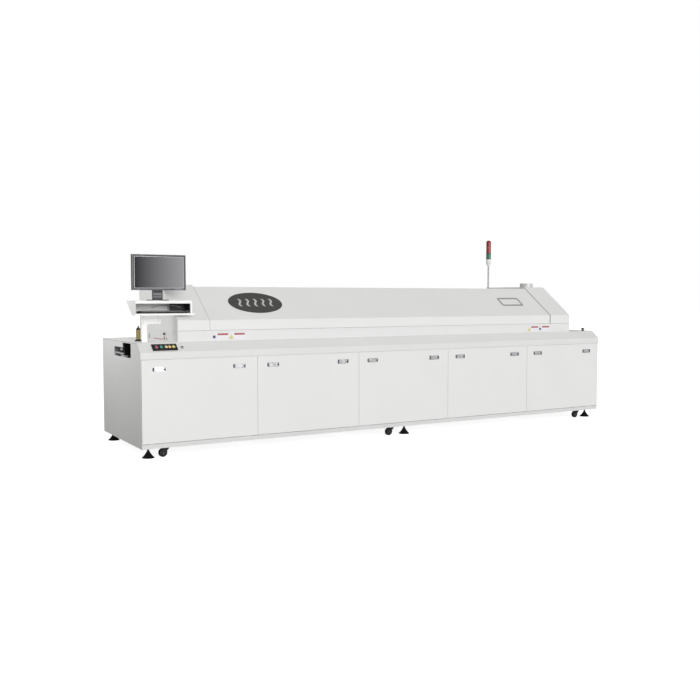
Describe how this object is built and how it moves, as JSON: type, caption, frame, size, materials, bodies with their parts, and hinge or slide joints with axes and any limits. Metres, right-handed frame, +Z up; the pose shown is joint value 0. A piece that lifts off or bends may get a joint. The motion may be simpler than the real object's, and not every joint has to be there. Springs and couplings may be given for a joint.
{
  "type": "reflow oven",
  "caption": "Long floor-standing tunnel oven for circuit boards, with a lifting hood, tilting door panels, monitor shelf, signal tower, casters and feet.",
  "frame": {"origin": "on the floor under the middle of the cabinet", "axes": "+X along the tunnel from the monitor end to the exit, -Y towards the operator, +Z up"},
  "size_m": [5.825, 1.349, 2.242],
  "materials": {
    "white_paint": "satin",
    "steel": "brushed",
    "chrome": "polished",
    "aluminium": "satin",
    "black_metal": "satin",
    "black_plastic": "matte",
    "foot_black": "matte",
    "screen_glass": "gloss",
    "red_lens": "gloss",
    "amber_cup": "gloss",
    "caster_rubber": "matte",
    "red_plastic": "gloss",
    "green_plastic": "gloss",
    "cream_plastic": "gloss",
    "yellow_plastic": "gloss",
    "stop_red": "gloss"
  },
  "bodies": {
    "cabinet": {"base_frame": "white_paint", "left_end_panel": "white_paint", "right_end_panel": "white_paint", "rear_panels": "white_paint", "worktop": "white_paint", "front_ledge": "white_paint", "hood_base": "white_paint", "left_hood_end": "white_paint", "right_hood_end": "white_paint", "exhaust_collars": "steel", "lower_furnace": "steel", "conveyor_frame": "aluminium", "mesh_belt": "steel", "chain_oiler": "amber_cup", "monitor_shelf": "white_paint", "monitor_stand": "black_plastic", "control_panel": "black_plastic", "tower_pole": "chrome", "tower_lenses": "red_lens"},
    "lid": {"hood_lid": "white_paint", "upper_furnace": "steel", "upper_blowers": "black_metal"},
    "lift_cylinders": {"lift_cylinders": "black_metal"},
    "lift_rods": {"lift_rods": "chrome"},
    "keyboard_tray": {"keyboard_tray": "black_plastic", "keyboard": "black_plastic"},
    "monitor": {"monitor_housing": "black_plastic", "monitor_screen": "screen_glass"},
    "rear_rail": {"rear_rail": "aluminium"},
    "width_screw": {"width_screw": "chrome"},
    "drive_drum": {"drive_drum": "steel"},
    "red_button": {"red_button": "red_plastic"},
    "green_button": {"green_button": "green_plastic"},
    "left_cream_button": {"left_cream_button": "cream_plastic"},
    "right_cream_button": {"right_cream_button": "cream_plastic"},
    "yellow_button": {"yellow_button": "yellow_plastic"},
    "emergency_stop": {"emergency_stop": "stop_red"},
    "door_1": {"door_1": "white_paint"},
    "latches_1": {"latches_1": "chrome"},
    "door_2": {"door_2": "white_paint"},
    "latches_2": {"latches_2": "chrome"},
    "door_3": {"door_3": "white_paint"},
    "latches_3": {"latches_3": "chrome"},
    "door_4": {"door_4": "white_paint"},
    "latches_4": {"latches_4": "chrome"},
    "door_5": {"door_5": "white_paint"},
    "latches_5": {"latches_5": "chrome"},
    "caster_fork_1": {"caster_fork_1": "black_metal"},
    "caster_wheel_1": {"caster_wheel_1": "caster_rubber"},
    "caster_fork_2": {"caster_fork_2": "black_metal"},
    "caster_wheel_2": {"caster_wheel_2": "caster_rubber"},
    "caster_fork_3": {"caster_fork_3": "black_metal"},
    "caster_wheel_3": {"caster_wheel_3": "caster_rubber"},
    "caster_fork_4": {"caster_fork_4": "black_metal"},
    "caster_wheel_4": {"caster_wheel_4": "caster_rubber"},
    "caster_fork_5": {"caster_fork_5": "black_metal"},
    "caster_wheel_5": {"caster_wheel_5": "caster_rubber"},
    "caster_fork_6": {"caster_fork_6": "black_metal"},
    "caster_wheel_6": {"caster_wheel_6": "caster_rubber"},
    "levelling_feet": {"levelling_feet": "foot_black"}
  },
  "joints": [
    {"name": "lid_hinge", "type": "hinge", "parent": "cabinet", "child": "lid", "pos_m": [0, 0.654, 1.165], "axis": [-1, 0, 0], "range_deg": [0, 45]},
    {"name": "lift_lean", "type": "hinge", "parent": "cabinet", "child": "lift_cylinders", "pos_m": [0, 0.35, 0.7], "axis": [-1, 0, 0], "range_deg": [0, 22]},
    {"name": "lift_stroke", "type": "slide", "parent": "lift_cylinders", "child": "lift_rods", "axis": [0, -0.204, 0.979], "range_m": [0, 0.25]},
    {"name": "keyboard_tray_slide", "type": "slide", "parent": "cabinet", "child": "keyboard_tray", "axis": [0, -1, 0], "range_m": [0, 0.1]},
    {"name": "monitor_tilt", "type": "hinge", "parent": "cabinet", "child": "monitor", "pos_m": [0, -0.383, 1.719], "axis": [-1, 0, 0], "range_deg": [-5, 15]},
    {"name": "rail_width", "type": "slide", "parent": "cabinet", "child": "rear_rail", "axis": [0, 1, 0], "range_m": [-0.17, 0.14]},
    {"name": "width_screw_turn", "type": "hinge", "parent": "cabinet", "child": "width_screw", "pos_m": [-2.7, 0, 1.025], "axis": [0, 1, 0], "continuous": true},
    {"name": "drum_turn", "type": "hinge", "parent": "cabinet", "child": "drive_drum", "pos_m": [2.8, 0, 0.8677], "axis": [0, 1, 0], "continuous": true},
    {"name": "red_button_press", "type": "slide", "parent": "cabinet", "child": "red_button", "axis": [0, 0.6365, -0.7713], "range_m": [0, 0.004], "stiffness_N_per_m": 300},
    {"name": "green_button_press", "type": "slide", "parent": "cabinet", "child": "green_button", "axis": [0, 0.6365, -0.7713], "range_m": [0, 0.004], "stiffness_N_per_m": 300},
    {"name": "left_cream_button_press", "type": "slide", "parent": "cabinet", "child": "left_cream_button", "axis": [0, 0.6365, -0.7713], "range_m": [0, 0.004], "stiffness_N_per_m": 300},
    {"name": "right_cream_button_press", "type": "slide", "parent": "cabinet", "child": "right_cream_button", "axis": [0, 0.6365, -0.7713], "range_m": [0, 0.004], "stiffness_N_per_m": 300},
    {"name": "yellow_button_press", "type": "slide", "parent": "cabinet", "child": "yellow_button", "axis": [0, 0.6365, -0.7713], "range_m": [0, 0.004], "stiffness_N_per_m": 300},
    {"name": "emergency_stop_press", "type": "slide", "parent": "cabinet", "child": "emergency_stop", "axis": [0, 0, -1], "range_m": [0, 0.005]},
    {"name": "door_1_tilt", "type": "hinge", "parent": "cabinet", "child": "door_1", "pos_m": [0, -0.657, 0.138], "axis": [1, 0, 0], "range_deg": [0, 30]},
    {"name": "door_2_tilt", "type": "hinge", "parent": "cabinet", "child": "door_2", "pos_m": [0, -0.657, 0.138], "axis": [1, 0, 0], "range_deg": [0, 30]},
    {"name": "door_3_tilt", "type": "hinge", "parent": "cabinet", "child": "door_3", "pos_m": [0, -0.657, 0.138], "axis": [1, 0, 0], "range_deg": [0, 30]},
    {"name": "door_4_tilt", "type": "hinge", "parent": "cabinet", "child": "door_4", "pos_m": [0, -0.657, 0.138], "axis": [1, 0, 0], "range_deg": [0, 30]},
    {"name": "door_5_tilt", "type": "hinge", "parent": "cabinet", "child": "door_5", "pos_m": [0, -0.657, 0.138], "axis": [1, 0, 0], "range_deg": [0, 30]},
    {"name": "latches_1_pull", "type": "hinge", "parent": "door_1", "child": "latches_1", "pos_m": [0, -0.657, 0.84], "axis": [-1, 0, 0], "range_deg": [0, 40], "stiffness_Nm_per_rad": 0.1},
    {"name": "latches_2_pull", "type": "hinge", "parent": "door_2", "child": "latches_2", "pos_m": [0, -0.657, 0.84], "axis": [-1, 0, 0], "range_deg": [0, 40], "stiffness_Nm_per_rad": 0.1},
    {"name": "latches_3_pull", "type": "hinge", "parent": "door_3", "child": "latches_3", "pos_m": [0, -0.657, 0.84], "axis": [-1, 0, 0], "range_deg": [0, 40], "stiffness_Nm_per_rad": 0.1},
    {"name": "latches_4_pull", "type": "hinge", "parent": "door_4", "child": "latches_4", "pos_m": [0, -0.657, 0.84], "axis": [-1, 0, 0], "range_deg": [0, 40], "stiffness_Nm_per_rad": 0.1},
    {"name": "latches_5_pull", "type": "hinge", "parent": "door_5", "child": "latches_5", "pos_m": [0, -0.657, 0.84], "axis": [-1, 0, 0], "range_deg": [0, 40], "stiffness_Nm_per_rad": 0.1},
    {"name": "feet_level", "type": "slide", "parent": "cabinet", "child": "levelling_feet", "axis": [0, 0, 1], "range_m": [-0.03, 0]},
    {"name": "caster_1_swivel", "type": "hinge", "parent": "cabinet", "child": "caster_fork_1", "pos_m": [-2.658, -0.615, 0.08], "axis": [0, 0, 1], "continuous": true},
    {"name": "caster_2_swivel", "type": "hinge", "parent": "cabinet", "child": "caster_fork_2", "pos_m": [-0.151, -0.615, 0.08], "axis": [0, 0, 1], "continuous": true},
    {"name": "caster_3_swivel", "type": "hinge", "parent": "cabinet", "child": "caster_fork_3", "pos_m": [2.594, -0.615, 0.08], "axis": [0, 0, 1], "continuous": true},
    {"name": "caster_4_swivel", "type": "hinge", "parent": "cabinet", "child": "caster_fork_4", "pos_m": [-2.658, 0.6, 0.08], "axis": [0, 0, 1], "continuous": true},
    {"name": "caster_5_swivel", "type": "hinge", "parent": "cabinet", "child": "caster_fork_5", "pos_m": [-0.151, 0.6, 0.08], "axis": [0, 0, 1], "continuous": true},
    {"name": "caster_6_swivel", "type": "hinge", "parent": "cabinet", "child": "caster_fork_6", "pos_m": [2.594, 0.6, 0.08], "axis": [0, 0, 1], "continuous": true},
    {"name": "caster_1_roll", "type": "hinge", "parent": "caster_fork_1", "child": "caster_wheel_1", "pos_m": [-2.688, -0.615, 0.041], "axis": [0, 1, 0], "continuous": true},
    {"name": "caster_2_roll", "type": "hinge", "parent": "caster_fork_2", "child": "caster_wheel_2", "pos_m": [-0.181, -0.615, 0.041], "axis": [0, 1, 0], "continuous": true},
    {"name": "caster_3_roll", "type": "hinge", "parent": "caster_fork_3", "child": "caster_wheel_3", "pos_m": [2.564, -0.615, 0.041], "axis": [0, 1, 0], "continuous": true},
    {"name": "caster_4_roll", "type": "hinge", "parent": "caster_fork_4", "child": "caster_wheel_4", "pos_m": [-2.688, 0.6, 0.041], "axis": [0, 1, 0], "continuous": true},
    {"name": "caster_5_roll", "type": "hinge", "parent": "caster_fork_5", "child": "caster_wheel_5", "pos_m": [-0.181, 0.6, 0.041], "axis": [0, 1, 0], "continuous": true},
    {"name": "caster_6_roll", "type": "hinge", "parent": "caster_fork_6", "child": "caster_wheel_6", "pos_m": [2.564, 0.6, 0.041], "axis": [0, 1, 0], "continuous": true}
  ],
  "couplings": [
    {"joint": "lift_lean", "follows": "lid_hinge", "ratio": 0.47465},
    {"joint": "lift_stroke", "follows": "lid_hinge", "m_per_rad": 0.31141},
    {"joint": "width_screw_turn", "follows": "rail_width", "rad_per_m": 314.16}
  ]
}
